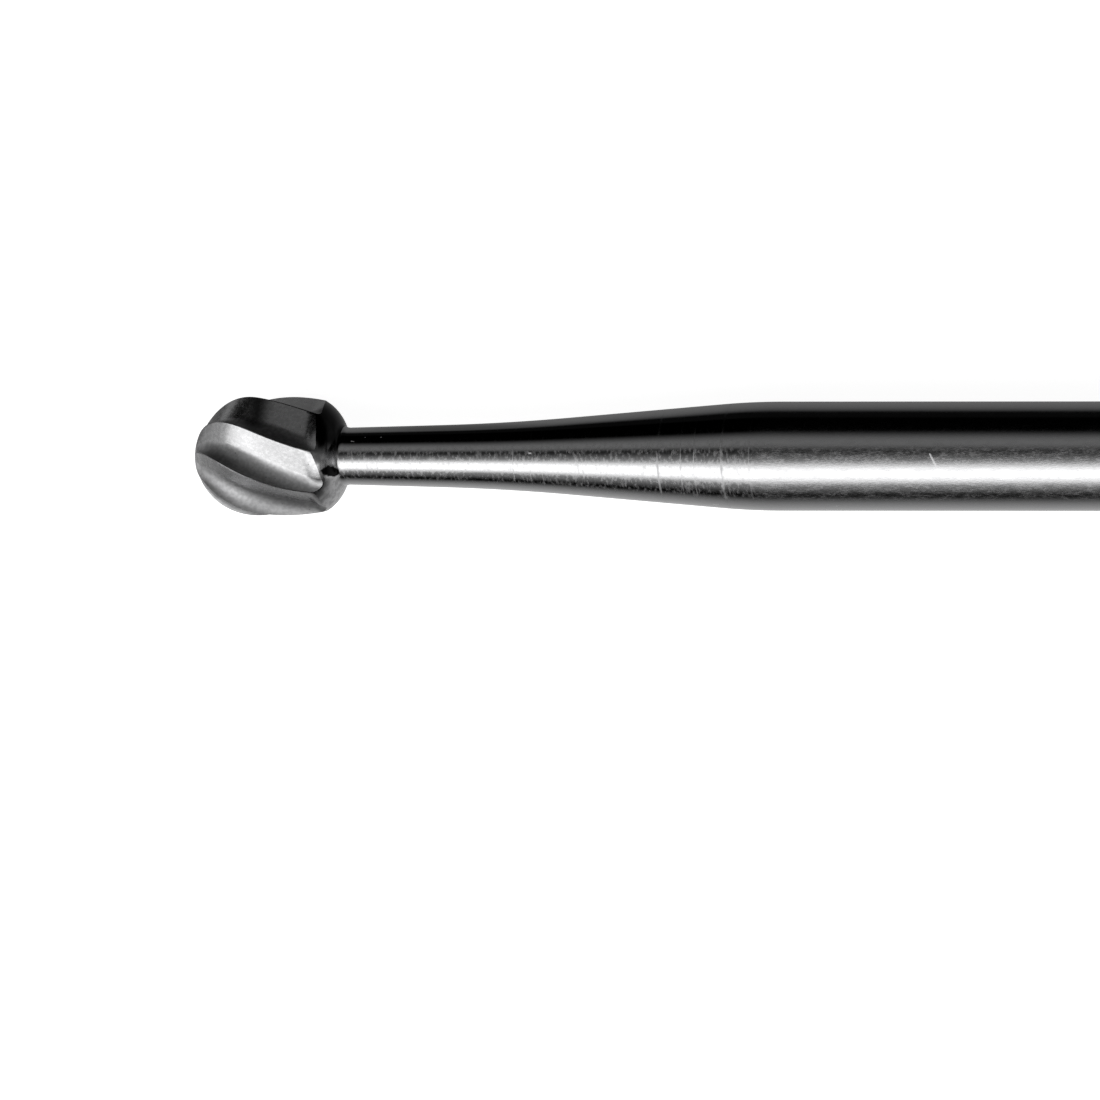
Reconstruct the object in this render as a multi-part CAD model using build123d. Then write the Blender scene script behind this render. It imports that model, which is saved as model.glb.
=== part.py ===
from build123d import *
from math import asin, cos, degrees, radians, sin, sqrt, tan
import os

# A round surgical bur, ground from one piece of steel: a fluted head, a slim neck and a plain
# straight shank. Sizes are in millimetres and degrees. The axis lies along X with the head at the
# low end, and the bur lies on a surface at Z = 0, with the origin under the middle of its length.

# Shank
overall_length = 44.5
shank_dia = 2.35
end_dome_height = 0.40

# Head: a nose a little longer than half a ball, a slightly tapered barrel and a rounded back. The
# nose keeps its form when the head gets another size, so its length comes from its bluntness
head_dia = 2.70
nose_bluntness = 1.8
barrel_length = 1.36
barrel_drop = 0.14
back_length = 0.455
back_round_radius = 1.0

# Neck: a slim stem that opens into a long cone up to the shank
neck_root_dia = 1.23
neck_root_fillet = 0.10
waist_dia = 1.42
stem_length = 3.60
cone_length = 5.50
waist_blend_radius = 50.0
shoulder_blend_radius = 16.0

# Cutting teeth
tooth_count = 8
first_edge_angle = 20.3
land_width = 0.045
rake_angle_middle = 6.0
rake_angle_back = 25.0
helix_angle_middle = 23.0
helix_angle_back = 13.2
flute_depth_middle = 0.41
flute_depth_back = 0.15
flute_round_middle = 0.30
flute_round_back = 0.10
nose_cap_dia = 0.30
cap_flute_depth = 0.015
cap_flute_round = 0.0075

# On the nose the flute's depth and its round floor fade out as these powers of the nose's relative
# radius, and the land takes at most this share of the pitch
depth_fade = 1.6
round_fade = 1.9
land_share = 0.25

head_radius = head_dia / 2
nose_length = head_dia / nose_bluntness
back_radius = head_radius - barrel_drop
shank_radius = shank_dia / 2
neck_radius = neck_root_dia / 2
waist_radius = waist_dia / 2
cap_radius = nose_cap_dia / 2
tooth_pitch = 360 / tooth_count

# The grinding wheel stands this far out of the blank, and runs this far past its two ends
wheel_reach = 0.8 * head_dia
back_run_out = 1.3 * back_length
nose_run_out = 0.013 * nose_length
# Where the wheel's section is given: along the nose, as the angle of its ellipse, and along the barrel
nose_angles = (12, 24, 38, 54, 72)
barrel_shares = (0, 0.35, 0.7, 1)

# Stations along the axis
tip_x = -overall_length / 2
middle_x = tip_x + nose_length
back_x = middle_x + barrel_length
neck_x = back_x + back_length
waist_x = neck_x + stem_length
shoulder_x = waist_x + cone_length
end_x = overall_length / 2
dome_x = end_x - end_dome_height
dome_radius = (shank_radius**2 + end_dome_height**2) / (2 * end_dome_height)

# The barrel is one arc that leaves the nose smoothly and ends at the back corner
barrel_arc_radius = (barrel_length**2 + barrel_drop**2) / (2 * barrel_drop)


def barrel_radius(distance):
    """Radius of the blank at a distance behind its widest section."""
    return head_radius - barrel_arc_radius + sqrt(barrel_arc_radius**2 - distance**2)


def edge_angle(distance):
    """Angle of the first cutting edge about the axis at a distance behind the widest section."""
    rate_middle = degrees(tan(radians(helix_angle_middle)) / head_radius)
    rate_back = degrees(tan(radians(helix_angle_back)) / back_radius)
    easing = (rate_back - rate_middle) / (2 * barrel_length)
    return first_edge_angle + rate_middle * distance + easing * distance**2


def along_barrel(middle_value, back_value, distance):
    """A size that changes evenly from the widest section to the back corner, and is held outside them."""
    share = min(max(0, distance / barrel_length), 1)
    return middle_value + (back_value - middle_value) * share


def on_circle(radius, angle):
    """Point of a section across the axis, with the angle turned from straight up."""
    return Vector(-radius * sin(radians(angle)), radius * cos(radians(angle)))


def blank_profile():
    """Half outline of the turned blank, from the tip of the head to the domed end of the shank."""
    with BuildSketch(Plane.XZ) as profile:
        with BuildLine():
            nose = EllipticalCenterArc((middle_x, 0), nose_length, head_radius, 90, arc_size=90)
            back_corner = (back_x, back_radius)
            barrel = RadiusArc((middle_x, head_radius), back_corner, barrel_arc_radius)
            back = RadiusArc(barrel @ 1, (neck_x, neck_radius), back_round_radius)
            stem = Line(back @ 1, (waist_x, waist_radius))
            cone = Line(stem @ 1, (shoulder_x, shank_radius))
            shank = Line(cone @ 1, (dome_x, shank_radius))
            dome_turn = degrees(asin(shank_radius / dome_radius))
            CenterArc((end_x - dome_radius, 0), dome_radius, 0, dome_turn)
            Line((end_x, 0), nose @ 1)
        make_face()
        for corner, blend in (
            (back @ 1, neck_root_fillet),
            (stem @ 1, waist_blend_radius),
            (cone @ 1, shoulder_blend_radius),
        ):
            fillet(profile.vertices().sort_by_distance(Plane.XZ.from_local_coords(corner))[0], blend)
    return profile.sketch


def wheel_section(distance, radius, depth, floor_round):
    """Section of the grinding wheel in one flute: a V with a rounded floor, open to the outside."""
    angle = edge_angle(distance)
    edge = on_circle(radius, angle)
    land_angle = min(degrees(land_width / radius), land_share * tooth_pitch)
    heel = on_circle(radius, angle - tooth_pitch + land_angle)
    rake_angle = along_barrel(rake_angle_middle, rake_angle_back, distance)
    root = edge - on_circle(depth, angle - rake_angle)
    to_edge = (edge - root).normalized()
    to_heel = (heel - root).normalized()
    half_opening = radians(to_edge.get_angle(to_heel)) / 2
    tangent_length = floor_round / tan(half_opening)
    floor = root + (to_edge + to_heel).normalized() * floor_round * (1 / sin(half_opening) - 1)
    with BuildSketch(Plane.YZ.offset(middle_x + distance)) as section:
        with BuildLine():
            back_line = Line(root + to_heel * wheel_reach, root + to_heel * tangent_length)
            round_floor = ThreePointArc(back_line @ 1, floor, root + to_edge * tangent_length)
            face_line = Line(round_floor @ 1, root + to_edge * wheel_reach)
            Line(face_line @ 1, back_line @ 0)
        make_face()
    return section.sketch


def wheel_path():
    """The solid that the wheel sweeps for one flute, from past the tip to past the back."""
    tip_distance = -nose_length - nose_run_out
    sections = [wheel_section(tip_distance, cap_radius, cap_flute_depth, cap_flute_round)]
    for nose_angle in nose_angles:
        reach = sin(radians(nose_angle))
        depth = flute_depth_middle * reach**depth_fade
        floor_round = flute_round_middle * reach**round_fade
        distance = -nose_length * cos(radians(nose_angle))
        sections.append(wheel_section(distance, head_radius * reach, depth, floor_round))
    for distance in [barrel_length * share for share in barrel_shares] + [barrel_length + back_run_out]:
        depth = along_barrel(flute_depth_middle, flute_depth_back, distance)
        floor_round = along_barrel(flute_round_middle, flute_round_back, distance)
        sections.append(wheel_section(distance, barrel_radius(distance), depth, floor_round))
    return loft(sections)


blank = revolve(blank_profile(), Axis.X)
wheel = wheel_path()
bur = blank - [wheel.rotate(Axis.X, tooth_pitch * place) for place in range(tooth_count)]

# The cutting edges are what the head rests on, so the axis stands above the surface by their reach
bur = Pos(0, 0, -bur.bounding_box().min.Z) * bur.solid()

os.makedirs("parts", exist_ok=True)
export_step(bur, "parts/bur.step")
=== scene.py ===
"""A round surgical bur of ground steel, lying on a pale studio floor.

The bur is turned as one blank, its flutes are ground into the head, and its skin gets three finishes:
one for the ground flutes, with painted light on the nose's cap and painted shade on the lands and the
lower near flank, one for the duller back of the head, with painted shade on its far side and a painted
spot of shade and streak of highlight at its root, and one for the turned neck and shank.
Sizes are in millimetres in the classes and become metres when a mesh is made.
"""

from __future__ import annotations

import logging
import math
from bisect import bisect_left
from dataclasses import dataclass, field
from enum import Enum
from functools import partial, reduce

import bpy
from mathutils import Matrix, Vector

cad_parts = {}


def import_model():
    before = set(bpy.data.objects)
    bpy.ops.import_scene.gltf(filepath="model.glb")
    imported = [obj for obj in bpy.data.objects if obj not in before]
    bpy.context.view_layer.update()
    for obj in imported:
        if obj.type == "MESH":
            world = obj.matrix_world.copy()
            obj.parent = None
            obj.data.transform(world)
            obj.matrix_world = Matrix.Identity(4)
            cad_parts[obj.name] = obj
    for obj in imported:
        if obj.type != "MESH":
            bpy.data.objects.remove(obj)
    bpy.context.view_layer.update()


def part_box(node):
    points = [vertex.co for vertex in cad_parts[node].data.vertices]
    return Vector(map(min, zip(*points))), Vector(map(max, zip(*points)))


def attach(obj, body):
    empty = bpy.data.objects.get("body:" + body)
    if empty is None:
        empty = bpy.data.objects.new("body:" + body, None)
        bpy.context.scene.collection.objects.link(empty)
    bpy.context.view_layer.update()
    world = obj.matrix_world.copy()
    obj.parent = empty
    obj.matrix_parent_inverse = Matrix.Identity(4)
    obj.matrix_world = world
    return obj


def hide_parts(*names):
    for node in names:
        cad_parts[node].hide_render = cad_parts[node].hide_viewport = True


log = logging.getLogger("bur")

MM = 0.001

# Vertices of the spun blank this close together, in millimetres, are one vertex
MERGE_REACH = 0.00002
# Room for rounding when a vertex is matched to its ring, and a radius that counts as none
STATION_SLACK = 1e-5
NO_RADIUS = 1e-9
# Edges that turn by more than this many degrees stay sharp
SHARP_ANGLE = 24.0
# How often the search for a flute's end halves its range
RUN_OUT_HALVINGS = 30

# A pit is at its full depth out to this share of its radius, and steel is this much bluer than grey
PIT_FLOOR = 0.4
STEEL_BLUE = 1.01

FLOAT = "NodeSocketFloat"
VECTOR = "NodeSocketVector"

Pair = tuple[float, float]
Socket = bpy.types.NodeSocket
Tree = bpy.types.NodeTree


class Zone(Enum):
    """Where a ring of the turned blank lies."""

    CAP = "cap"
    NOSE = "nose"
    BARREL = "barrel"
    BACK = "back"
    ROOT = "root"
    NECK = "neck"
    SHANK = "shank"
    DOME = "dome"


# Place of each zone's finish in the piece's list of materials; the other zones have the last one
FINISH_OF_ZONE = {Zone.NOSE: 0, Zone.BARREL: 0, Zone.BACK: 1, Zone.ROOT: 1}
TURNED_FINISH = 2


@dataclass(frozen=True)
class Ring:
    """One ring of the turned blank, at a place from the tip and a share of the way along its zone."""

    x: float
    radius: float
    zone: Zone
    share: float


def between(low: float, high: float, share: float) -> float:
    """The value that lies a share of the way from low to high."""
    return low + (high - low) * share


def smooth_step(low: float, high: float, value: float) -> float:
    """0 below low, 1 above high and a smooth S curve between them."""
    share = min(max((value - low) / (high - low), 0.0), 1.0)
    return share * share * (3.0 - 2.0 * share)


def on_circle(radius: float, degrees: float) -> Vector:
    """Point of a section across the axis as (y, z), with the angle turned from straight up."""
    turn = math.radians(degrees)
    return Vector((-radius * math.sin(turn), radius * math.cos(turn)))


def deselect_all() -> None:
    """Leave nothing selected, in object mode."""
    if bpy.context.object and bpy.context.object.mode != "OBJECT":
        bpy.ops.object.mode_set(mode="OBJECT")
    bpy.ops.object.select_all(action="DESELECT")


@dataclass(frozen=True)
class ToothGap:
    """What differs from one tooth gap to the next, because they were ground one by one.

    Args:
        slope: How far the face behind a cutting edge falls inwards, in degrees.
        floor_round: Radius of the flute's round floor.
        lift: How far the wheel was lifted at the back corner, from 0 to 1.
        lift_end: Share of the gap, counted from its face, at which that lift has faded out.
    """

    slope: float
    floor_round: float
    lift: float = 0.80
    lift_end: float = 2.0


@dataclass(frozen=True)
class FluteGrind:
    """How the grinding wheel cuts the flutes, in millimetres and degrees.

    "Middle" is the head's widest section and "back" is the corner at the end of the barrel. Behind each
    edge come a narrow land that falls inwards by its relief, a flat face and a round floor. The wheel
    lifts out from a little before the back corner to a little past it. On the nose the slope fades with
    a power of the relative radius, and the flutes grow from nothing to their full form between two
    angles of its outline. The steps are the mesh's columns on each part of a gap.
    """

    teeth: int = 8
    first_edge: float = 20.3
    land_width: float = 0.024
    land_relief: float = 9.0
    land_share: float = 0.25
    ease_length: float = 0.30
    gaps: tuple[ToothGap, ...] = (
        ToothGap(19.0, 0.62),
        ToothGap(21.0, 0.50),
        ToothGap(20.0, 0.56),
        ToothGap(22.0, 0.46),
        ToothGap(20.0, 0.52),
        ToothGap(23.0, 0.48),
        ToothGap(31.0, 0.40),
        ToothGap(22.0, 0.50, 0.60, 0.95),
    )
    lift_length: float = 0.20
    lift_past: float = 0.10
    back_slope: float = 7.5
    helix_middle: float = 23.0
    helix_back: float = 13.2
    round_back: float = 0.50
    least_round_share: float = 0.05
    round_to_sunk: float = 0.55
    nose_fade: float = 0.7
    cap_start: float = 17.0
    cap_end: float = 31.0
    land_steps: int = 3
    heel_steps: int = 10
    floor_steps: int = 13
    rake_steps: int = 6

    @property
    def pitch(self) -> float:
        """Angle from one cutting edge to the next."""
        return 360.0 / self.teeth

    @property
    def columns(self) -> int:
        """Columns of the mesh from one cutting edge to the next."""
        return self.land_steps + self.heel_steps + self.floor_steps + self.rake_steps

    @property
    def around(self) -> int:
        """Columns of the mesh right round the head."""
        return self.teeth * self.columns


@dataclass(frozen=True)
class Blank:
    """The turned blank: the outline of the bur before its flutes are cut, in millimetres.

    The drop is how much smaller the radius is at the corner where the barrel ends, and the root blend
    is as long on the neck as on the head's back. The rings are how many the mesh has on each stretch,
    and the first few of the root's still have the dull finish of the back, with its painted shade.
    """

    length: float = 44.5
    shank_radius: float = 1.175
    dome_height: float = 0.40
    head_radius: float = 1.35
    nose_length: float = 1.50
    barrel_length: float = 1.36
    barrel_drop: float = 0.14
    back_length: float = 0.455
    back_round: float = 1.0
    neck_root_radius: float = 0.615
    root_blend: float = 0.14
    waist_radius: float = 0.71
    stem_length: float = 3.60
    cone_length: float = 5.50
    waist_blend: float = 50.0
    shoulder_blend: float = 16.0
    nose_rings: int = 56
    barrel_rings: int = 40
    back_rings: int = 14
    root_rings: int = 8
    dull_root_rings: int = 4
    stem_rings: int = 10
    waist_rings: int = 12
    cone_rings: int = 12
    shoulder_rings: int = 10
    shank_rings: int = 12
    dome_rings: int = 12

    @property
    def middle(self) -> float:
        """Place of the head's widest section, from the tip."""
        return self.nose_length

    @property
    def corner(self) -> float:
        """Place of the corner where the barrel ends."""
        return self.middle + self.barrel_length

    @property
    def corner_radius(self) -> float:
        """Radius at the corner where the barrel ends."""
        return self.head_radius - self.barrel_drop

    @property
    def neck(self) -> float:
        """Place where the neck leaves the head."""
        return self.corner + self.back_length

    @property
    def waist(self) -> float:
        """Place where the slim stem becomes the cone."""
        return self.neck + self.stem_length

    @property
    def shoulder(self) -> float:
        """Place where the cone reaches the shank's width."""
        return self.waist + self.cone_length

    def barrel_radius(self, distance: float) -> float:
        """Radius of the barrel's arc at a distance behind the widest section."""
        arc = (self.barrel_length**2 + self.barrel_drop**2) / (2.0 * self.barrel_drop)
        return self.head_radius - arc + math.sqrt(arc**2 - distance**2)

    def back_arc(self) -> tuple[Vector, float]:
        """The arc of the head's rounded back.

        Returns:
            Its centre as (x, radius), and the angle about it at which the neck begins, in radians.
        """
        start = Vector((self.corner, self.corner_radius))
        end = Vector((self.neck, self.neck_root_radius))
        chord = end - start
        inward = Vector((chord.y, -chord.x)).normalized()
        rise = math.sqrt(self.back_round**2 - (chord.length / 2.0) ** 2)
        centre = (start + end) / 2.0 + inward * rise
        return centre, math.atan2(end.y - centre.y, end.x - centre.x)

    def back_point(self, turn: float) -> Vector:
        """Point (x, radius) of the back's arc at an angle about its centre, in radians."""
        centre, _ = self.back_arc()
        return centre + Vector((math.cos(turn), math.sin(turn))) * self.back_round

    def back_turn(self, x: float) -> float:
        """Angle about the back's centre, in radians, at a place along the axis."""
        centre, _ = self.back_arc()
        return math.acos((x - centre.x) / self.back_round)

    def root_turn(self) -> float:
        """Angle about the back's centre, in radians, where the blend into the neck starts."""
        _, last = self.back_arc()
        return last + self.root_blend / self.back_round

    def rings(self) -> list[Ring]:
        """Lay out the rings of the whole blank.

        Returns:
            Every ring, from the tip to the end of the shank.
        """
        made = [Ring(0.0, 0.0, Zone.CAP, 0.0)]
        for place in range(1, self.nose_rings + 1):
            share = place / self.nose_rings
            turn = share * math.pi / 2.0
            x = self.middle - self.nose_length * math.cos(turn)
            made.append(Ring(x, self.head_radius * math.sin(turn), Zone.NOSE, share))
        for place in range(1, self.barrel_rings + 1):
            share = place / self.barrel_rings
            distance = self.barrel_length * share
            made.append(Ring(self.middle + distance, self.barrel_radius(distance), Zone.BARREL, share))
        first = self.back_turn(self.corner)
        for place in range(1, self.back_rings + 1):
            share = place / self.back_rings
            point = self.back_point(between(first, self.root_turn(), share))
            made.append(Ring(point.x, point.y, Zone.BACK, share))
        return made + self.neck_rings() + self.shank_end()

    def neck_rings(self) -> list[Ring]:
        """Lay out the neck and the straight shank.

        Returns:
            The rings of the blend behind the head, the stem, the cone and the shank.
        """
        start = self.back_point(self.root_turn())
        root = Vector((self.neck, self.neck_root_radius))
        waist = Vector((self.waist, self.waist_radius))
        shoulder = Vector((self.shoulder, self.shank_radius))
        rim = Vector((self.length - self.dome_height, self.shank_radius))
        points: list[Vector] = []
        points += self.bend(start, root, waist, self.root_blend, self.root_rings)
        points += self.run(points[-1], waist, self.waist_blend, shoulder, self.stem_rings)
        points += self.bend(points[-1], waist, shoulder, None, self.waist_rings)
        points += self.run(points[-1], shoulder, self.shoulder_blend, rim, self.cone_rings)
        points += self.bend(points[-1], shoulder, rim, None, self.shoulder_rings)
        last = points[-1]
        points += [last.lerp(rim, place / self.shank_rings) for place in range(1, self.shank_rings + 1)]
        made = []
        for place, point in enumerate(points):
            if place < self.dull_root_rings:
                zone = Zone.ROOT
            else:
                zone = Zone.NECK if point.x < self.shoulder else Zone.SHANK
            made.append(Ring(point.x, point.y, zone, 0.0))
        return made

    @staticmethod
    def run(start: Vector, corner: Vector, blend: float, beyond: Vector, steps: int) -> list[Vector]:
        """Lay out a straight run that stops where the blend at its corner starts.

        Args:
            start: Where the run starts.
            corner: The corner ahead.
            blend: Radius of the blend at that corner.
            beyond: The point that follows the corner.
            steps: Number of points.

        Returns:
            The points after the start, as (x, radius).
        """
        back, ahead = (start - corner).normalized(), (beyond - corner).normalized()
        half_turn = (math.pi - back.angle(ahead)) / 2.0
        stop = corner + back * blend * math.tan(half_turn)
        return [start.lerp(stop, place / steps) for place in range(1, steps + 1)]

    @staticmethod
    def bend(start: Vector, corner: Vector, beyond: Vector, reach: float | None, steps: int) -> list[Vector]:
        """Lay out a smooth bend round a corner.

        Args:
            start: Where the bend starts.
            corner: The corner that it rounds.
            beyond: The point that follows the corner.
            reach: How far past the corner the bend goes, or None for as far as it starts before it.
            steps: Number of points.

        Returns:
            The points after the start, as (x, radius).
        """
        ahead = (beyond - corner).normalized()
        end = corner + ahead * (reach if reach is not None else (corner - start).length)
        points = []
        for place in range(1, steps + 1):
            share = place / steps
            first, second = start.lerp(corner, share), corner.lerp(end, share)
            points.append(first.lerp(second, share))
        return points

    def shank_end(self) -> list[Ring]:
        """Lay out the low dome that closes the shank.

        Returns:
            Its rings, the last one on the axis.
        """
        radius = (self.shank_radius**2 + self.dome_height**2) / (2.0 * self.dome_height)
        widest = math.asin(self.shank_radius / radius)
        made = []
        for place in range(1, self.dome_rings + 1):
            share = place / self.dome_rings
            turn = widest * (1.0 - share)
            x = self.length - radius + radius * math.cos(turn)
            made.append(Ring(x, radius * math.sin(turn), Zone.DOME, share))
        return made


@dataclass
class RotaryBur:
    """The bur: one piece of steel with a fluted head, a neck and a shank.

    Args:
        axis_height: Height of the bur's axis, in metres.
        tip: Place of its tip along the axis, in metres.
        blank: Outline of the turned blank.
        flute: How the flutes are ground.
    """

    axis_height: float
    tip: float
    blank: Blank = field(default_factory=Blank)
    flute: FluteGrind = field(default_factory=FluteGrind)

    def edge_angle(self, distance: float) -> float:
        """Find the first cutting edge.

        Args:
            distance: Distance behind the head's widest section.

        Returns:
            The edge's angle there, in degrees from straight up.
        """
        rate_middle = math.degrees(math.tan(math.radians(self.flute.helix_middle)) / self.blank.head_radius)
        rate_back = math.degrees(math.tan(math.radians(self.flute.helix_back)) / self.blank.corner_radius)
        easing = (rate_back - rate_middle) / (2.0 * self.blank.barrel_length)
        return self.flute.first_edge + rate_middle * distance + easing * distance**2

    def along_barrel(self, distance: float) -> float:
        """Share of the barrel that lies before a section, with a soft start instead of a kink."""
        soft = (distance + math.hypot(distance, self.flute.ease_length)) / 2.0
        return min(soft / self.blank.barrel_length, 1.0)

    def ground_point(
        self, distance: float, radius: float, share: float, fade: float, tooth: int, column: int
    ) -> Vector:
        """Find a point of a flute's section: the land, the flat face, or the arc up to the next edge.

        Args:
            distance: How far the section is behind the head's widest one.
            radius: Radius of the blank there.
            share: How far along the barrel the section is.
            fade: How much of the flute's full depth is left, from 0 to 1.
            tooth: Which tooth gap it is.
            column: Column of the mesh, counted from a cutting edge.

        Returns:
            The point as (y, z), turned back to where the first tooth gap lies.
        """
        grind = self.flute
        start = self.edge_angle(distance)
        land = min(math.degrees(grind.land_width / radius), grind.land_share * grind.pitch)
        drop = radius * math.radians(land) * math.tan(math.radians(grind.land_relief))
        heel = on_circle(radius - drop, start + land)
        if column <= grind.land_steps:
            return on_circle(radius, start).lerp(heel, column / grind.land_steps)
        edge = on_circle(radius, start + grind.pitch)
        gap = grind.gaps[tooth]
        slope = math.radians(between(gap.slope, grind.back_slope, share) * fade)
        along = edge - heel
        width = along.length
        along.normalize()
        inward = Vector((along.y, -along.x))
        if inward.dot(heel) > 0.0:
            inward.negate()
        sunk = width * math.sin(slope)
        floor_round = between(gap.floor_round, grind.round_back, share)
        floor_round *= max(radius / self.blank.head_radius, grind.least_round_share)
        floor_round = max(floor_round, grind.round_to_sunk * sunk)
        fall = along * math.cos(slope) + inward * math.sin(slope)
        rise = along * math.sin(slope) - inward * math.cos(slope)
        face = width * math.cos(slope) - math.sqrt(max(2.0 * floor_round * sunk - sunk**2, 0.0))
        column -= grind.land_steps
        if column <= grind.heel_steps:
            return heel + fall * face * column / grind.heel_steps
        centre = heel + fall * face + rise * floor_round
        first, last = -rise, (edge - centre).normalized()
        turn = first.angle_signed(last, 0.0)
        share_round = (column - grind.heel_steps) / (grind.floor_steps + grind.rake_steps)
        return centre + (Matrix.Rotation(-turn * share_round, 2) @ first) * floor_round

    def barrel_point(self, distance: float, tooth: int, column: int) -> Vector:
        """Find a point of the ground barrel, also where the wheel runs out past the back corner.

        Args:
            distance: How far the section is behind the head's widest one.
            tooth: Which tooth gap it is.
            column: Column of the mesh, counted from a cutting edge.

        Returns:
            The point as (y, z).
        """
        grind, radius = self.flute, self.blank.barrel_radius(distance)
        gap = grind.gaps[tooth]
        point = self.ground_point(distance, radius, self.along_barrel(distance), 1.0, tooth, column)
        corner = self.blank.barrel_length
        lift = smooth_step(corner - grind.lift_length, corner + grind.lift_past, distance) * gap.lift
        lift *= 1.0 - smooth_step(0.0, gap.lift_end, column / grind.columns)
        return point.normalized() * between(point.length, radius, lift)

    def run_out(self, tooth: int, column: int) -> float:
        """Find where a column of a flute leaves through the head's rounded back.

        Args:
            tooth: Which tooth gap it is.
            column: Column of the mesh, counted from a cutting edge.

        Returns:
            Its distance behind the head's widest section.
        """
        low, high = self.blank.barrel_length, self.blank.barrel_length + self.blank.back_length
        if column <= self.flute.land_steps:
            return low
        for _ in range(RUN_OUT_HALVINGS):
            guess = (low + high) / 2.0
            turn = self.blank.back_turn(self.blank.middle + guess)
            if self.barrel_point(guess, tooth, column).length < self.blank.back_point(turn).y:
                low = guess
            else:
                high = guess
        return low

    def nose_point(self, turn: float, tooth: int, column: int) -> Vector:
        """Find a point of the nose, which is smooth at the tip and fluted further back.

        Args:
            turn: Angle of the nose's outline, in degrees from the tip.
            tooth: Which tooth gap it is.
            column: Column of the mesh, counted from a cutting edge.

        Returns:
            The point as (y, z).
        """
        grind = self.flute
        reach = math.sin(math.radians(turn))
        distance = -self.blank.nose_length * math.cos(math.radians(turn))
        radius = self.blank.head_radius * reach
        share = self.along_barrel(distance)
        ground = self.ground_point(distance, radius, share, reach**grind.nose_fade, tooth, column)
        plain = on_circle(radius, self.edge_angle(distance) + grind.pitch * column / grind.columns)
        return plain.lerp(ground, smooth_step(grind.cap_start, grind.cap_end, turn))

    def grind(self, rings: list[Ring]) -> list[list[Vector]]:
        """Work out where every vertex of the blank lies once the flutes are ground.

        Args:
            rings: The rings of the blank.

        Returns:
            The vertices' places, ring by ring, as (x, y, z) with x from the tip.
        """
        blank, grind = self.blank, self.flute
        spokes = [divmod(spoke, grind.columns) for spoke in range(grind.around)]
        ends = [self.run_out(tooth, column) for tooth, column in spokes]
        leaving = [self.barrel_point(end, *spoke) for end, spoke in zip(ends, spokes)]
        even_start = self.edge_angle(blank.barrel_length)
        made = []
        for ring in rings:
            row = []
            for (tooth, column), end, exit_point in zip(spokes, ends, leaving):
                x = ring.x
                even = even_start + grind.pitch * column / grind.columns
                if ring.zone is Zone.NOSE:
                    point = self.nose_point(90.0 * ring.share, tooth, column)
                elif ring.zone is Zone.BARREL:
                    x = blank.middle + end * ring.share
                    point = self.barrel_point(end * ring.share, tooth, column)
                elif ring.zone is Zone.BACK:
                    start = blank.back_turn(blank.middle + end)
                    place = blank.back_point(between(start, blank.root_turn(), ring.share))
                    angle = math.degrees(math.atan2(-exit_point.x, exit_point.y))
                    x, point = place.x, on_circle(place.y, between(angle, even, ring.share**2))
                else:
                    point = on_circle(ring.radius, even)
                row.append(Matrix.Rotation(math.radians(grind.pitch * tooth), 3, "X") @ Vector((x, *point)))
            made.append(row)
        return made

    def turn_blank(self, rings: list[Ring]) -> bpy.types.Object:
        """Spin the blank's outline about the axis into a closed skin.

        Args:
            rings: The rings of the blank.

        Returns:
            The plain blank, with its tip at the origin, left selected.
        """
        deselect_all()
        mesh = bpy.data.meshes.new("bur_steel")
        outline = [(ring.x * MM, 0.0, ring.radius * MM) for ring in rings]
        mesh.from_pydata(outline, [(place, place + 1) for place in range(len(outline) - 1)], [])
        piece = bpy.data.objects.new("bur_steel", mesh)
        bpy.context.collection.objects.link(piece)
        bpy.context.view_layer.objects.active = piece
        piece.select_set(True)
        bpy.ops.object.mode_set(mode="EDIT")
        bpy.ops.mesh.select_all(action="SELECT")
        steps = self.flute.around
        bpy.ops.mesh.spin(steps=steps, angle=math.tau, center=(0.0, 0.0, 0.0), axis=(1.0, 0.0, 0.0))
        bpy.ops.mesh.select_all(action="SELECT")
        bpy.ops.mesh.remove_doubles(threshold=MERGE_REACH * MM)
        bpy.ops.mesh.normals_make_consistent(inside=False)
        bpy.ops.object.mode_set(mode="OBJECT")
        return piece

    def cut_flutes(self, piece: bpy.types.Object, rings: list[Ring]) -> None:
        """Move every vertex of the blank to its place on the ground bur.

        Args:
            piece: The plain blank.
            rings: The rings of the blank.
        """
        places = self.grind(rings)
        stations = [ring.x for ring in rings]
        around = self.flute.around
        marks = []
        for vertex in piece.data.vertices:
            row = min(bisect_left(stations, vertex.co.x / MM - STATION_SLACK), len(rings) - 1)
            turn = math.atan2(-vertex.co.y, vertex.co.z) / math.tau
            spoke = round(turn * around) % around
            vertex.co = places[row][spoke] * MM
            marks.append((row, spoke))
        self.map_surface(piece, rings, marks)

    def map_surface(self, piece: bpy.types.Object, rings: list[Ring], marks: list[tuple[int, int]]) -> None:
        """Give the skin a map along and across its flutes, and each face the finish of its zone.

        Args:
            piece: The bur.
            rings: The rings of the blank.
            marks: Ring and spoke of each vertex.
        """
        columns, around = self.flute.columns, self.flute.around
        run = [0.0]
        for before, ring in zip(rings, rings[1:]):
            run.append(run[-1] + math.hypot(ring.x - before.x, ring.radius - before.radius))
        mesh = piece.data
        layer = mesh.uv_layers.new(name="flute_map")
        for face in mesh.polygons:
            spokes = [marks[place][1] for place in face.vertices]
            rows = [marks[place][0] for place in face.vertices]
            wraps = max(spokes) - min(spokes) > around // 2
            poles = [row for row in rows if rings[row].radius < NO_RADIUS]
            others = [spoke for row, spoke in zip(rows, spokes) if rings[row].radius >= NO_RADIUS]
            for loop, row, spoke in zip(face.loop_indices, rows, spokes):
                if poles and row == poles[0]:
                    spoke = sum(others) / len(others)
                elif wraps and spoke < around // 2:
                    spoke += around
                layer.data[loop].uv = (run[row], spoke / columns)
            face.material_index = FINISH_OF_ZONE.get(rings[max(rows)].zone, TURNED_FINISH)

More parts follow.
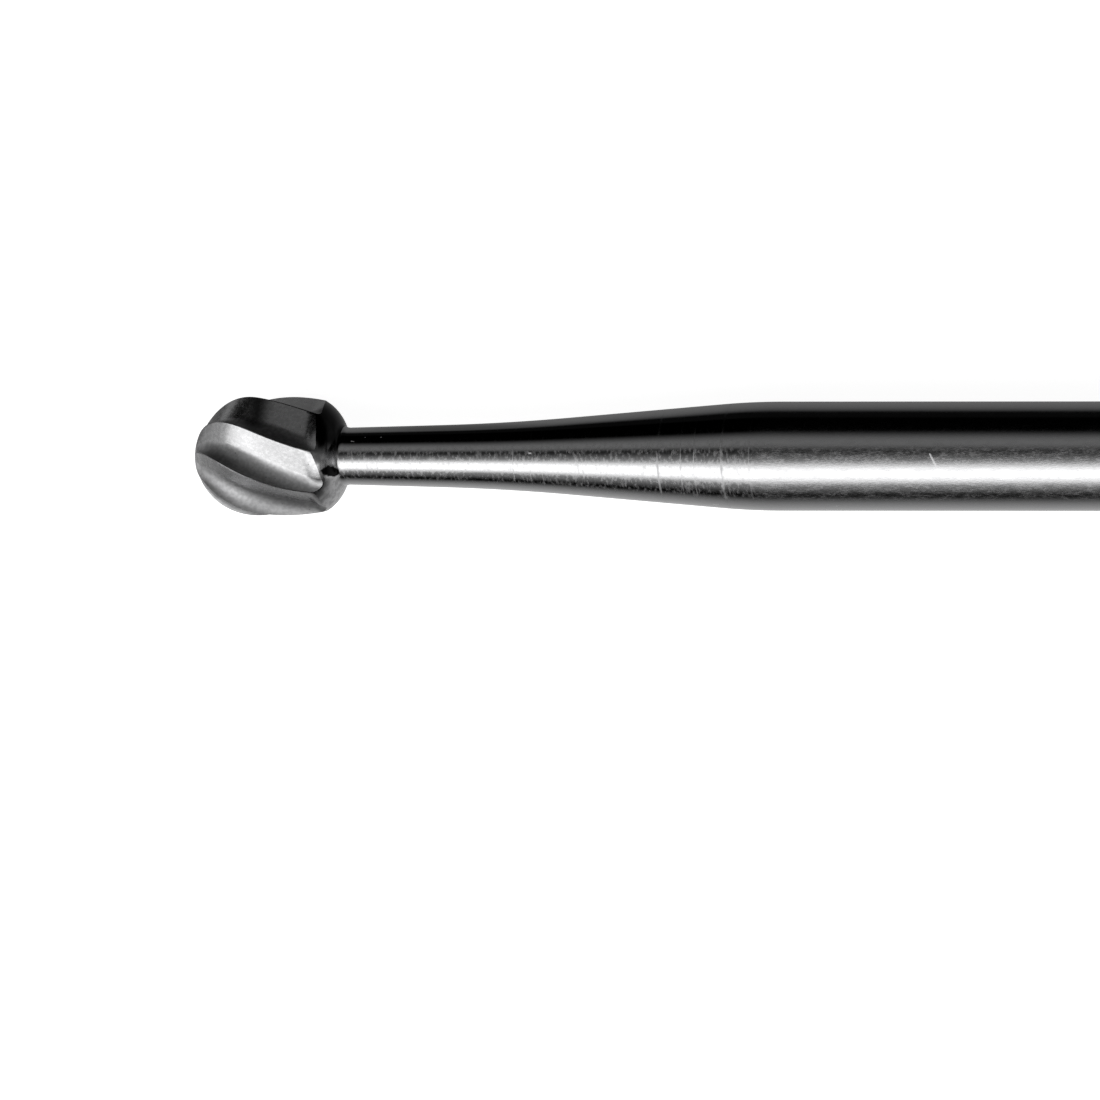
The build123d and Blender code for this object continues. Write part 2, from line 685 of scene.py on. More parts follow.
    def build(self) -> bpy.types.Object:
        """Make the bur.

        Returns:
            Its mesh, in the shared frame and in metres.
        """
        rings = self.blank.rings()
        piece = self.turn_blank(rings)
        self.cut_flutes(piece, rings)
        bpy.ops.object.shade_smooth_by_angle(angle=math.radians(SHARP_ANGLE))
        piece.data.transform(Matrix.Translation((self.tip, 0.0, self.axis_height)))
        return piece


class Wiring:
    """Adds nodes to one node tree and joins their sockets."""

    def __init__(self, tree: Tree) -> None:
        """Work in the given node tree."""
        self.tree = tree

    def add(self, kind: str, inputs: dict | None = None, **settings: object) -> bpy.types.Node:
        """Add a node, set its options, and give its inputs a value or a link.

        Args:
            kind: Blender's name for the node's type.
            inputs: Values or output sockets by input name or place.
            settings: Options of the node.

        Returns:
            The new node.
        """
        node = self.tree.nodes.new(kind)
        for name, value in settings.items():
            setattr(node, name, value)
        for key, value in (inputs or {}).items():
            self.put(node.inputs[key], value)
        return node

    def put(self, socket: Socket, value: object) -> None:
        """Give an input a link or a value.

        Args:
            socket: The input.
            value: An output socket to link, or the input's own value.
        """
        if isinstance(value, Socket):
            self.tree.links.new(value, socket)
        else:
            socket.default_value = value

    def math(self, operation: str, *values: object, clamp: bool = False) -> Socket:
        """Output of a Math node on one to three values."""
        inputs = dict(enumerate(values))
        return self.add("ShaderNodeMath", inputs, operation=operation, use_clamp=clamp).outputs[0]

    def times(self, first: object, *others: object) -> Socket:
        """Product of two or more values."""
        return reduce(partial(self.math, "MULTIPLY"), others, first)

    def length(self, first: object, second: object) -> Socket:
        """Length of the hypotenuse over two values."""
        squares = self.math("ADD", self.math("POWER", first, 2.0), self.math("POWER", second, 2.0))
        return self.math("SQRT", squares)

    def ease(
        self, value: object, reach: tuple[object, object], first: object = 0.0, last: object = 1.0
    ) -> Socket:
        """Smooth change from first to last as a value goes through its reach, from low to high."""
        inputs = zip(("Value", "From Min", "From Max", "To Min", "To Max"), (value, *reach, first, last))
        return self.add("ShaderNodeMapRange", dict(inputs), interpolation_type="SMOOTHSTEP").outputs[0]

    def mix(self, mask: object, low: object, high: object) -> Socket:
        """Value between low and high by a mask from 0 to 1."""
        return self.add("ShaderNodeMapRange", {"Value": mask, "To Min": low, "To Max": high}).outputs[0]

    def vector(self, operation: str, first: object, second: object) -> bpy.types.Node:
        """Vector Math node on two vectors; its second output is a number."""
        return self.add("ShaderNodeVectorMath", {0: first, 1: second}, operation=operation)

    def split(self, vector: object) -> bpy.types.bpy_prop_collection:
        """The three parts of a vector."""
        return self.add("ShaderNodeSeparateXYZ", {0: vector}).outputs


def empty_tree(owner: bpy.types.Material | bpy.types.World) -> Tree:
    """Switch the nodes of a material or a world on and clear them away.

    Args:
        owner: The material or the world.

    Returns:
        Its node tree.
    """
    owner.use_nodes = True
    owner.node_tree.nodes.clear()
    return owner.node_tree


def ray_kinds(wiring: Wiring) -> tuple[Socket, Socket]:
    """1 for what the camera sees, and 1 for what steel reflects."""
    path = wiring.add("ShaderNodeLightPath").outputs
    return wiring.math("MAXIMUM", path["Is Camera Ray"], path["Is Transmission Ray"]), path["Is Glossy Ray"]


@dataclass(frozen=True)
class Camera:
    """A long lens high above the head, tilted from straight down a little towards the shank.

    Its clip distances are in metres. The frame is as wide as what the picture shows at its aim.
    """

    tilt: float = 14.5
    roll: float = 0.07
    lens: float = 700.0
    sensor: float = 36.0
    frame_width: float = 23.717
    aim: tuple[float, float, float] = (-14.35, -2.023, 1.290)
    clip: Pair = (0.01, 20.0)

    def place(self) -> None:
        """Put the camera in the scene."""
        data = bpy.data.cameras.new("camera")
        data.lens = self.lens
        data.sensor_width = self.sensor
        data.sensor_fit = "HORIZONTAL"
        data.clip_start, data.clip_end = self.clip
        camera = bpy.data.objects.new("camera", data)
        bpy.context.collection.objects.link(camera)
        tilt = math.radians(self.tilt)
        right = Vector((math.cos(tilt), 0.0, -math.sin(tilt)))
        back = Vector((math.sin(tilt), 0.0, math.cos(tilt)))
        distance = self.frame_width * self.lens / self.sensor
        stand = (Vector(self.aim) + back * distance) * MM
        turn = Matrix((right, (0.0, 1.0, 0.0), back)).transposed().to_4x4()
        turn = turn @ Matrix.Rotation(math.radians(self.roll), 4, "Z")
        camera.matrix_world = Matrix.Translation(stand) @ turn
        bpy.context.scene.camera = camera
        bpy.context.scene.view_settings.view_transform = "Standard"


@dataclass(frozen=True)
class StripLight:
    """A long soft light overhead, in line with the bur.

    It grows and fades between angles from straight up, in degrees towards the bur's near side.
    """

    rise: Pair
    fall: Pair
    strength: float


@dataclass(frozen=True)
class Room:
    """The white room, with soft strips overhead and a pale panel beyond each end of the bur.

    A brightness of 1 is white. Each pair is where something starts and ends to change, along x, y or z
    of the direction looked in.
    """

    strips: tuple[StripLight, ...] = (
        StripLight((9.5, 36.0), (42.0, 66.0), 1.9),
        StripLight((-10.0, 21.0), (55.0, 92.0), 0.34),
        StripLight((-57.0, -30.0), (-25.0, -12.0), 0.175),
    )
    nose_end: Pair = (-1.02, -0.85)
    tail_end: Pair = (0.80, 0.97)
    ceiling: float = 0.025
    ceiling_height: Pair = (0.55, 0.90)
    nose_panel: float = 0.52
    nose_panel_along: Pair = (-0.92, -0.68)
    nose_panel_across: Pair = (0.15, 0.45)
    tail_panel: float = 0.20
    tail_panel_along: Pair = (0.60, 0.85)
    tail_panel_across: Pair = (0.0, 0.30)

    def build(self) -> None:
        """Make the room the world around the scene, and plain white where the camera sees it."""
        world = bpy.data.worlds.new("soft_studio")
        bpy.context.scene.world = world
        wiring = Wiring(empty_tree(world))
        x, y, z = wiring.split(wiring.add("ShaderNodeTexCoord").outputs["Generated"])
        angle = wiring.math("DEGREES", wiring.math("ARCTAN2", wiring.times(y, -1.0), z))
        strips: object = 0.0
        for strip in self.strips:
            rise, fall = wiring.ease(angle, strip.rise), wiring.ease(angle, strip.fall, 1.0, 0.0)
            strips = wiring.math("ADD", strips, wiring.times(rise, fall, strip.strength))
        along = wiring.times(wiring.ease(x, self.nose_end), wiring.ease(x, self.tail_end, 1.0, 0.0))
        ceiling = wiring.times(wiring.ease(z, self.ceiling_height), self.ceiling)
        glow = wiring.math("ADD", wiring.times(strips, along), ceiling)
        before_nose = wiring.times(
            wiring.ease(x, self.nose_panel_along, self.nose_panel, 0.0),
            wiring.ease(y, self.nose_panel_across, 1.0, 0.0),
        )
        past_tail = wiring.times(
            wiring.ease(x, self.tail_panel_along, 0.0, self.tail_panel),
            wiring.ease(y, self.tail_panel_across, 1.0, 0.0),
        )
        glow = wiring.math("MAXIMUM", wiring.math("MAXIMUM", glow, before_nose), past_tail)
        seen, _ = ray_kinds(wiring)
        shown = wiring.math("ADD", wiring.times(glow, wiring.math("SUBTRACT", 1.0, seen)), seen)
        backdrop = wiring.add("ShaderNodeBackground", {"Color": (1.0, 1.0, 1.0, 1.0), "Strength": shown})
        wiring.add("ShaderNodeOutputWorld", {"Surface": backdrop.outputs[0]})


@dataclass(frozen=True)
class Floor:
    """A large pale floor at the bur's lowest points.

    Reflections see it as a painted pool of light that is bright on the near side and fades away from the
    bur, with a painted bright patch before the nose, whose outline slants away from the tip, and a painted
    shadow on the far side. Each pair of places is where something starts and ends to change, in millimetres.
    The size is in metres, and the fill is what the camera sees on top of the light that the floor scatters.
    """

    tip: float
    nose_glow: float
    size: float = 6.0
    albedo: float = 0.80
    fill: float = 0.91
    near_glow: float = 0.77
    near_fade: float = 4.0
    far_glow: float = 0.17
    far_fade: Pair = (2.0, 7.6)
    dark: float = 0.004
    nose_along: Pair = (1.5, 6.0)
    nose_slant: float = 0.8
    nose_edge: Pair = (-1.5, 1.5)
    nose_far: float = 0.75
    side_edge: Pair = (-1.5, 1.5)
    shade_place: Pair = (-17.2, 2.8)
    shade_size: Pair = (2.0, 2.2)
    shade_edge: Pair = (0.3, 1.2)
    shade_left: float = 0.60

    def pool(self, wiring: Wiring) -> Socket:
        """Lay out the floor's glow in reflections.

        Args:
            wiring: The floor's node tree.

        Returns:
            The glow's strength at each place.
        """
        x, y, _ = wiring.split(wiring.add("ShaderNodeTexCoord").outputs["Object"])
        along, across = wiring.times(x, 1.0 / MM), wiring.times(y, 1.0 / MM)
        before_tip = wiring.math("MAXIMUM", wiring.math("SUBTRACT", self.tip, along), 0.0)
        away = wiring.length(across, before_tip)
        outline = wiring.times(wiring.math("ABSOLUTE", across), self.nose_slant)
        inside = wiring.math("SUBTRACT", before_tip, outline)
        before_nose = wiring.ease(before_tip, self.nose_along, 0.0, self.nose_glow)
        before_nose = wiring.times(before_nose, wiring.ease(inside, self.nose_edge))
        fading = wiring.math("EXPONENT", wiring.times(away, -1.0 / self.near_fade))
        near = wiring.math("MAXIMUM", wiring.times(fading, self.near_glow), before_nose)
        near = wiring.math("ADD", near, self.dark)
        far = wiring.ease(away, self.far_fade, self.far_glow, self.dark)
        far = wiring.math("MAXIMUM", far, wiring.times(before_nose, self.nose_far))
        # Painted shadow on the far side of the pool.
        shade_x, shade_y = (
            wiring.math("DIVIDE", wiring.math("SUBTRACT", place, middle), half)
            for place, middle, half in zip((along, across), self.shade_place, self.shade_size)
        )
        in_shade = wiring.length(shade_x, shade_y)
        far = wiring.times(far, wiring.ease(in_shade, self.shade_edge, self.shade_left, 1.0))
        return wiring.mix(wiring.ease(across, self.side_edge), near, far)

    def build(self) -> None:
        """Lay the floor under the bur."""
        deselect_all()
        bpy.ops.mesh.primitive_plane_add(size=self.size, location=(0.0, 0.0, 0.0))
        plane = bpy.context.active_object
        plane.name = "floor"
        material = bpy.data.materials.new("pale_floor")
        wiring = Wiring(empty_tree(material))
        seen, reflected = ray_kinds(wiring)
        paper = wiring.add("ShaderNodeBsdfDiffuse", {"Color": (self.albedo,) * 3 + (1.0,)})
        fill = wiring.add("ShaderNodeEmission", {"Strength": wiring.times(seen, self.fill)})
        plain = wiring.add("ShaderNodeAddShader", {0: paper.outputs[0], 1: fill.outputs[0]})
        pool = wiring.add("ShaderNodeEmission", {"Strength": self.pool(wiring)})
        look = wiring.add("ShaderNodeMixShader", {0: reflected, 1: plain.outputs[0], 2: pool.outputs[0]})
        wiring.add("ShaderNodeOutputMaterial", {"Surface": look.outputs[0]})
        plane.data.materials.append(material)


class NodeGroup(Wiring):
    """A shader node group under construction."""

    def __init__(self, name: str, vectors: tuple[str, ...], numbers: tuple[str, ...] = ()) -> None:
        """Start the group with its inputs.

        Args:
            name: Name of the group.
            vectors: Names of the inputs that are vectors.
            numbers: Names of the inputs that are numbers.
        """
        super().__init__(bpy.data.node_groups.new(name, "ShaderNodeTree"))
        for labels, kind in ((vectors, VECTOR), (numbers, FLOAT)):
            for label in labels:
                self.tree.interface.new_socket(label, in_out="INPUT", socket_type=kind)
        self.given = self.add("NodeGroupInput").outputs

    def close(self, results: dict[str, Socket]) -> Tree:
        """Give the group its outputs.

        Args:
            results: What each output gives, by its name.

        Returns:
            The finished group.
        """
        for label, value in results.items():
            kind = VECTOR if value.type == "VECTOR" else FLOAT
            self.tree.interface.new_socket(label, in_out="OUTPUT", socket_type=kind)
        self.add("NodeGroupOutput", results)
        return self.tree


@dataclass(frozen=True)
class Grain:
    """Streaks or blotches: their fineness per millimetre, their range of noise and their detail."""

    fineness: tuple[float, float, float]
    low: float
    high: float
    detail: float = 2.0


@dataclass(frozen=True)
class Pits:
    """Small round spots: cells per millimetre, radius in millimetres and share of cells with one."""

    density: float
    size: float
    share: float


@dataclass(frozen=True)
class Mark:
    """A short straight mark between two places (along, round the skin, 0), in millimetres: scratches, a
    darker band, and painted spots of shade or streaks of highlight.
    """

    start: tuple[float, float, float]
    end: tuple[float, float, float]
    width: float


@dataclass(frozen=True)
class RingMark:
    """A thin turned line round the bur: its place along it, its width and how strong it is."""

    place: float
    width: float
    strength: float


class SteelEffects:
    """Shader node groups for the marks that grinding and use leave on steel.

    The inputs of each mark's group include the fields of its dataclass, by their names.
    """

    def __init__(self, axis_height: float, tip: float) -> None:
        """Make the groups.

        Args:
            axis_height: Height of the bur's axis, in millimetres.
            tip: Place of its tip along the axis, in millimetres.
        """
        self.place = self.make_place(Vector((tip, 0.0, axis_height)))
        self.grain = self.make_grain()
        self.pits = self.make_pits()
        self.ring = self.make_ring()
        self.scratch_or_painted_mark = self.make_scratch()

    @staticmethod
    def make_place(origin: Vector) -> Tree:
        """Work out the place on the bur, in millimetres from its tip and degrees from straight up.

        Args:
            origin: The bur's tip, on its axis.

        Returns:
            A group that gives the place as a vector, along the bur, around it and out from its axis.
        """
        group = NodeGroup("place_on_bur", ("object",))
        scaled = group.vector("MULTIPLY", group.given["object"], (1.0 / MM,) * 3).outputs[0]
        centred = group.vector("SUBTRACT", scaled, origin).outputs[0]
        x, y, z = group.split(centred)
        minus_y = group.times(y, -1.0)
        around = group.math("DEGREES", group.math("ARCTAN2", minus_y, z))
        reach = group.length(minus_y, z)
        return group.close({"vector": centred, "along": x, "around": around, "reach": reach})

    @staticmethod
    def make_grain() -> Tree:
        """Streaks of a chosen length and fineness.

        Returns:
            A group that gives their mask.
        """
        group = NodeGroup("grain", ("vector", "fineness"), ("detail", "low", "high"))
        given = group.given
        stretched = group.vector("MULTIPLY", given["vector"], given["fineness"]).outputs[0]
        inputs = {"Vector": stretched, "Scale": 1.0, "Detail": given["detail"]}
        noise = group.add("ShaderNodeTexNoise", inputs)
        return group.close({"Mask": group.ease(noise.outputs[0], (given["low"], given["high"]))})

    @staticmethod
    def make_pits() -> Tree:
        """Small round spots strewn over the surface.

        Returns:
            A group that gives their mask.
        """
        group = NodeGroup("pits", ("vector",), ("density", "size", "share"))
        given = group.given
        inputs = {"Vector": given["vector"], "Scale": given["density"]}
        cells = group.add("ShaderNodeTexVoronoi", inputs).outputs
        size = group.times(given["size"], given["density"])
        spot = group.ease(cells["Distance"], (group.times(size, PIT_FLOOR), size), 1.0, 0.0)
        pick = group.add("ShaderNodeSeparateColor", {0: cells["Color"]}).outputs[0]
        return group.close({"Mask": group.times(spot, group.math("LESS_THAN", pick, given["share"]))})

    @staticmethod
    def make_ring() -> Tree:
        """One turned ring mark, which comes and goes round the bur.

        Returns:
            A group that gives its mask.
        """
        group = NodeGroup("turned_ring", (), ("along", "breaks", "place", "width", "strength"))
        given = group.given
        offset = group.math("ABSOLUTE", group.math("SUBTRACT", given["along"], given["place"]))
        line = group.ease(offset, (0.0, given["width"]), 1.0, 0.0)
        return group.close({"Mask": group.times(line, given["breaks"], given["strength"])})

    @staticmethod
    def make_scratch() -> Tree:
        """One short straight mark between two places on the bur's skin: scratches, a darker band, or a
        painted spot of shade or streak of highlight.

        Returns:
            A group that gives its mask.
        """
        group = NodeGroup("scratch_or_painted_mark", ("start", "end"), ("along", "around", "reach", "width"))
        given = group.given
        arc = group.times(group.math("RADIANS", given["around"]), given["reach"])
        here = group.add("ShaderNodeCombineXYZ", {0: given["along"], 1: arc}).outputs[0]
        from_start = group.vector("SUBTRACT", here, given["start"]).outputs[0]
        line = group.vector("SUBTRACT", given["end"], given["start"]).outputs[0]
        done, whole = (group.vector("DOT_PRODUCT", part, line).outputs[1] for part in (from_start, line))
        share = group.math("DIVIDE", done, whole, clamp=True)
        nearest = group.add("ShaderNodeVectorMath", {0: line, "Scale": share}, operation="SCALE").outputs[0]
        gap = group.vector("DISTANCE", from_start, nearest).outputs[1]
        return group.close({"Mask": group.ease(gap, (0.0, given["width"]), 1.0, 0.0)})


class Finish(Wiring):
    """A steel finish under construction: its node tree and its places on the bur."""

    def __init__(self, name: str, effects: SteelEffects) -> None:
        """Start the finish.

        Args:
            name: Name of the material.
            effects: The shared node groups.
        """
        self.material = bpy.data.materials.new(name)
        super().__init__(empty_tree(self.material))
        self.effects = effects
        source = self.add("ShaderNodeTexCoord").outputs["Object"]
        place = self.add("ShaderNodeGroup", {"object": source}, node_tree=effects.place).outputs
        self.vector_place, self.along = place["vector"], place["along"]
        self.around, self.reach = place["around"], place["reach"]

    def mask(self, tree: Tree, mark: object, **places: object) -> Socket:
        """Mask of a mark, from its shared node group, its own sizes and the places on the bur."""
        return self.add("ShaderNodeGroup", vars(mark) | places, node_tree=tree).outputs[0]

    def grain(self, grain: Grain, vector: object = None) -> Socket:
        """Mask of streaks or blotches, over a vector or over the place on the bur."""
        return self.mask(self.effects.grain, grain, vector=vector or self.vector_place)

    def pits(self, pits: Pits) -> Socket:
        """Mask of small spots."""
        return self.mask(self.effects.pits, pits, vector=self.vector_place)

    def scratch_or_painted_mark(self, mark: Mark) -> Socket:
        """Mask of one short straight mark: scratches, a darker band, or a painted spot of shade or streak of
        highlight.
        """
        places = {"along": self.along, "around": self.around, "reach": self.reach}
        return self.mask(self.effects.scratch_or_painted_mark, mark, **places)

    def ring(self, ring: RingMark, breaks: object) -> Socket:
        """Mask of one ring mark, broken up by another mask."""
        return self.mask(self.effects.ring, ring, along=self.along, breaks=breaks)

    def finish(self, grey: object, roughness: object, height: object, depth: float) -> bpy.types.Material:
        """Join the finish to its shader.

        Args:
            grey: Steel tone.
            roughness: Roughness.
            height: Surface height from 0 to 1.
            depth: What a height of 1 is, in millimetres.

        Returns:
            The material.
        """
        inputs = {0: grey, 1: grey, 2: self.times(grey, STEEL_BLUE)}
        colour = self.add("ShaderNodeCombineColor", inputs).outputs[0]
        bump = self.add("ShaderNodeBump", {"Height": height, "Distance": depth * MM, "Strength": 1.0})
        inputs = {"Base Color": colour, "Metallic": 1.0, "Roughness": roughness, "Normal": bump.outputs[0]}
        shader = self.add("ShaderNodeBsdfPrincipled", inputs)
        self.add("ShaderNodeOutputMaterial", {"Surface": shader.outputs[0]})
        return self.material


@dataclass(frozen=True)
class FlutedSteel:
    """Finish of the ground flutes and cutting edges, with painted light on the nose's cap and painted shade
    on the lands and on the lower near flank.

    A tone is a grey or a share of the grey. Each pair is where something starts and ends to change:
    across a flute, from 0 at one edge to 1 at the next, or along or around the bur.
    """

    base: float = 0.51
    mottle_tones: Pair = (0.84, 1.04)
    smooth: float = 0.22
    coarse: float = 0.32
    lines: Grain = Grain((3.0, 24.0, 1.0), 0.30, 0.70, 3.0)
    mottle: Grain = Grain((13.0, 13.0, 13.0), 0.36, 0.66, 3.0)
    pits: Pits = Pits(5.5, 0.018, 0.40)
    pit_tone: float = 0.5
    gullet: Pair = (0.36, 0.62)
    gullet_roughness: float = 0.50
    # Painted shade: the narrow lands behind the edges get a lower grey, so they reflect less of the strip
    # light.
    land_end: Pair = (0.08, 0.10)
    land_tone: float = 0.55
    # A broad band across the far side of the head's middle, where the grey is cut to a small share.
    stain: Mark = Mark((1.54, -1.60, 0.0), (1.50, -0.95, 0.0), 0.42)
    stain_tone: float = 0.15
    # Painted light: the nose's cap gets a lighter grey, which fades out along the nose.
    cap_end: Pair = (0.15, 0.50)
    cap_tone: float = 1.30
    # Painted shade: the lower near flank of the head, behind the nose, gets a darker grey.
    under_around: Pair = (40.0, 60.0)
    under_along: Pair = (0.90, 1.50)
    under_tone: float = 0.74
    line_height: float = 0.35
    depth: float = 0.0006

    def material(self, effects: SteelEffects) -> bpy.types.Material:
        """Make the finish.

        Args:
            effects: The shared node groups.

        Returns:
            The material.
        """
        work = Finish("fluted_steel", effects)
        flutes = work.add("ShaderNodeUVMap", uv_map="flute_map").outputs[0]
        across = work.math("FRACT", work.split(flutes)[1])
        lines, mottle, pits = work.grain(self.lines, flutes), work.grain(self.mottle), work.pits(self.pits)
        # Mask of the painted shade on the lower near flank.
        low_side = work.ease(work.around, self.under_around)
        under = work.times(low_side, work.ease(work.along, self.under_along))
        # The grey: mottled and pitted, with the far-side band, painted shade on the lands and the lower near
        # flank, and painted light on the cap.
        tone = work.times(
            work.mix(mottle, *(self.base * share for share in self.mottle_tones)),
            work.mix(pits, 1.0, self.pit_tone),
            work.mix(work.scratch_or_painted_mark(self.stain), 1.0, self.stain_tone),
            work.ease(across, self.land_end, self.land_tone, 1.0),
            work.ease(work.along, self.cap_end, self.cap_tone, 1.0),
            work.mix(under, 1.0, self.under_tone),
        )
        polished = work.mix(work.times(lines, mottle), self.smooth, self.coarse)
        roughness = work.mix(work.ease(across, self.gullet), polished, self.gullet_roughness)
        low, high = work.times(lines, self.line_height), work.times(mottle, 1.0 - self.line_height)
        height = work.math("SUBTRACT", work.math("ADD", low, high), pits)
        return work.finish(tone, roughness, height, self.depth)


@dataclass(frozen=True)
class BackSteel:
    """Finish of the head's rounded back, with painted shade on its far side and, at the neck's root, a
    painted spot of shade and a painted streak of highlight.
    """

    base: float = 0.50
    stain_tones: Pair = (0.7, 1.1)
    smooth: float = 0.08
    coarse: float = 0.22
    rings: Grain = Grain((30.0, 2.0, 2.0), 0.35, 0.65)
    stains: Grain = Grain((7.0, 7.0, 7.0), 0.38, 0.64, 3.0)
    # Painted shade: over this range of angles round the bur, the grey falls to a small share on the far side
    # of the back.
    film_end: Pair = (-22.0, 4.0)
    film_tone: float = 0.05
    # A short streak at the neck's root: rougher, with a painted highlight that lightens its grey.
    rim: Mark = Mark((3.16, 0.470, 0.0), (3.30, 0.465, 0.0), 0.09)
    rim_tone: float = 0.8
    rim_roughness: float = 0.5
    # Painted shade: a small, nearly black spot with a ragged edge, where the back blends into the neck.
    spot: Mark = Mark((3.17, 0.325, 0.0), (3.25, 0.345, 0.0), 0.20)
    spot_ragged: float = 0.30
    spot_edge: Pair = (0.15, 0.40)
    spot_tone: float = 0.01
    depth: float = 0.0003

    def material(self, effects: SteelEffects) -> bpy.types.Material:
        """Make the finish.

        Args:
            effects: The shared node groups.

        Returns:
            The material.
        """
        work = Finish("head_back_steel", effects)
        rings, stains, rim = work.grain(self.rings), work.grain(self.stains), work.scratch_or_painted_mark(self.rim)
        # Stained grey, darkened by painted shade on the far side.
        tone = work.times(
            work.mix(stains, *(self.base * share for share in self.stain_tones)),
            work.ease(work.around, self.film_end, self.film_tone, 1.0),
        )
        # Mask of the painted spot of shade, its edge made ragged by the stains.
        ragged = work.math("SUBTRACT", work.scratch_or_painted_mark(self.spot), work.times(stains, self.spot_ragged))
        # Painted highlight on the streak at the root, then the painted spot of shade.
        tone = work.mix(rim, tone, self.rim_tone)
        tone = work.mix(work.ease(ragged, self.spot_edge), tone, self.spot_tone)
        roughness = work.mix(rim, work.mix(rings, self.smooth, self.coarse), self.rim_roughness)
        return work.finish(tone, roughness, rings, self.depth)


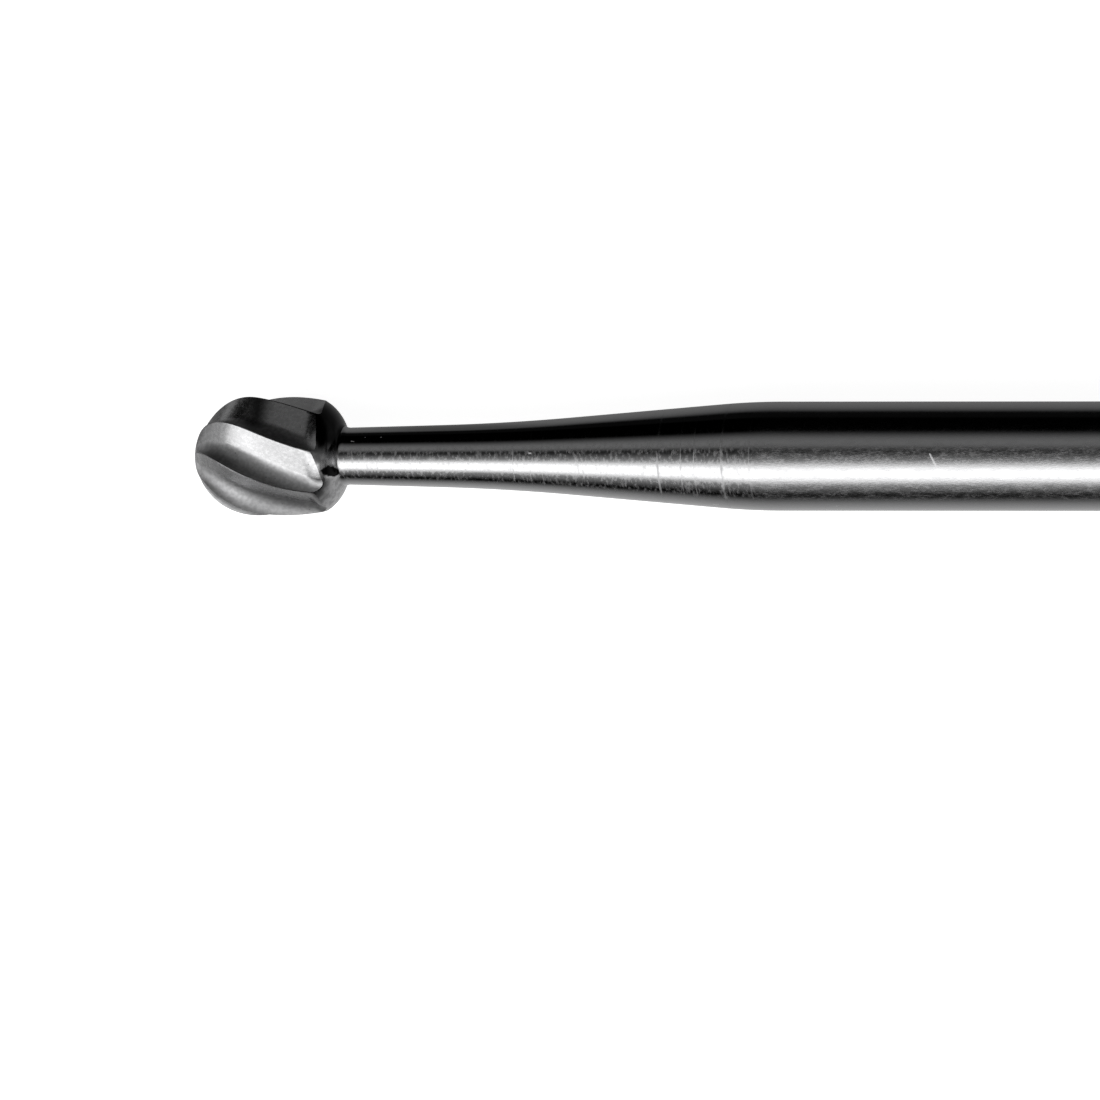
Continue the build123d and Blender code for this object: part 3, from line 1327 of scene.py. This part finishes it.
@dataclass(frozen=True)
class TurnedSteel:
    """Finish of the neck, polished in rings, and of the shank, ground lengthwise.

    The marks are strongest on the worn side, which lies up and towards the near side. A least share is
    what is left of them elsewhere. Each pair is where something starts and ends to change.
    """

    base: float = 0.57
    speckle_tones: Pair = (0.95, 1.04)
    neck_smooth: float = 0.045
    neck_coarse: float = 0.40
    shank_smooth: float = 0.10
    shank_coarse: float = 0.36
    shank_start: Pair = (12.35, 13.0)
    worn_start: Pair = (-24.0, -10.0)
    worn_end: Pair = (50.0, 64.0)
    least_marks: float = 0.25
    least_rings: float = 0.3
    least_height: float = 0.15
    fine: Grain = Grain((26.0, 2.2, 2.2), 0.36, 0.80, 3.0)
    fine_share: Pair = (0.15, 0.35)
    broad: Grain = Grain((16.0, 9.0, 9.0), 0.34, 0.68, 4.0)
    broad_share: float = 0.70
    speckle: Grain = Grain((13.0, 36.0, 36.0), 0.30, 0.70, 3.0)
    least_speckle: float = 0.40
    patches: Grain = Grain((4.0, 9.0, 9.0), 0.36, 0.62, 4.0)
    least_patches: float = 0.50
    breaks: Grain = Grain((4.0, 2.0, 2.0), 0.30, 0.55)
    rings: tuple[RingMark, ...] = (
        RingMark(6.85, 0.022, 0.4),
        RingMark(7.26, 0.020, 0.6),
        RingMark(7.64, 0.018, 0.5),
        RingMark(7.91, 0.018, 0.5),
        RingMark(8.84, 0.018, 0.4),
        RingMark(10.54, 0.045, 0.9),
        RingMark(11.06, 0.022, 0.6),
        RingMark(11.36, 0.024, 0.7),
        RingMark(11.98, 0.055, 1.0),
        RingMark(12.60, 0.030, 0.6),
        RingMark(12.90, 0.035, 0.7),
    )
    ring_roughness: float = 0.55
    dust: Pits = Pits(2.2, 0.022, 0.12)
    scratches: tuple[Mark, ...] = (
        Mark((16.60, -0.039, 0.0), (16.73, 0.221, 0.0), 0.034),
        Mark((7.63, -0.060, 0.0), (7.67, -0.058, 0.0), 0.034),
        Mark((11.62, 1.335, 0.0), (11.74, 1.352, 0.0), 0.024),
        Mark((14.38, 1.347, 0.0), (14.40, 1.347, 0.0), 0.028),
        Mark((4.25, -0.441, 0.0), (4.262, -0.441, 0.0), 0.026),
        Mark((3.90, -0.441, 0.0), (3.91, -0.441, 0.0), 0.022),
        Mark((3.60, -0.335, 0.0), (3.66, -0.330, 0.0), 0.024),
    )
    dust_tone: float = 0.90
    dust_roughness: float = 0.62
    neck_height: float = 0.35
    depth: float = 0.00035

    def material(self, effects: SteelEffects) -> bpy.types.Material:
        """Make the finish.

        Args:
            effects: The shared node groups.

        Returns:
            The material.
        """
        work = Finish("turned_steel", effects)
        shank = work.ease(work.along, self.shank_start)
        before_end = work.ease(work.around, self.worn_end, 1.0, 0.0)
        worn = work.times(work.ease(work.around, self.worn_start), before_end)
        marked = work.mix(worn, self.least_marks, 1.0)
        speckle = work.grain(self.speckle)
        roughness = work.mix(shank, self.neck(work, worn, marked), self.shank(work, speckle, marked))
        dust = work.pits(self.dust)
        for scratch_or_painted_mark in self.scratches:
            dust = work.math("MAXIMUM", dust, work.scratch_or_painted_mark(scratch_or_painted_mark))
        tone = work.mix(speckle, *(self.base * share for share in self.speckle_tones))
        tone = work.mix(dust, tone, self.dust_tone)
        roughness = work.mix(dust, roughness, self.dust_roughness)
        low_neck = work.mix(shank, self.neck_height, 1.0)
        height = work.times(speckle, low_neck, work.mix(worn, self.least_height, 1.0))
        return work.finish(tone, roughness, height, self.depth)

    def neck(self, work: Finish, worn: object, marked: object) -> Socket:
        """Roughness of the neck, with its blotches and its ring marks.

        Args:
            work: The finish that is being made.
            worn: Mask of the worn side.
            marked: How strong the marks are there.

        Returns:
            The roughness.
        """
        broad, breaks = work.grain(self.broad), work.grain(self.breaks)
        fine = work.times(work.grain(self.fine), work.mix(broad, *self.fine_share))
        polish = work.times(work.math("ADD", fine, work.times(broad, self.broad_share)), marked)
        rings: object = 0.0
        for ring in self.rings:
            rings = work.math("MAXIMUM", rings, work.ring(ring, breaks))
        rings = work.times(rings, work.mix(worn, self.least_rings, 1.0))
        return work.mix(rings, work.mix(polish, self.neck_smooth, self.neck_coarse), self.ring_roughness)

    def shank(self, work: Finish, speckle: object, marked: object) -> Socket:
        """Roughness of the shank, with its speckle and its patches.

        Args:
            work: The finish that is being made.
            speckle: Mask of the speckle.
            marked: How strong the marks are.

        Returns:
            The roughness.
        """
        patches = work.mix(work.grain(self.patches), self.least_patches, 1.0)
        coarse = work.times(patches, work.mix(speckle, self.least_speckle, 1.0), marked)
        return work.mix(coarse, self.shank_smooth, self.shank_coarse)


def main() -> None:
    """Build the bur, dress it and set up the studio."""
    logging.basicConfig(level=logging.INFO, format="%(message)s")
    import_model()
    low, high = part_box("bur")
    bur = RotaryBur(axis_height=(low.z + high.z) / 2.0, tip=low.x)
    piece = bur.build()
    effects = SteelEffects(axis_height=bur.axis_height / MM, tip=bur.tip / MM)
    for finish in (FlutedSteel(), BackSteel(), TurnedSteel()):
        piece.data.materials.append(finish.material(effects))
    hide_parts("bur")
    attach(piece, "root")
    log.info("bur_steel: %d faces", len(piece.data.polygons))
    Camera().place()
    room = Room()
    room.build()
    Floor(tip=bur.tip / MM, nose_glow=room.nose_panel).build()


if __name__ == "__main__":
    main()
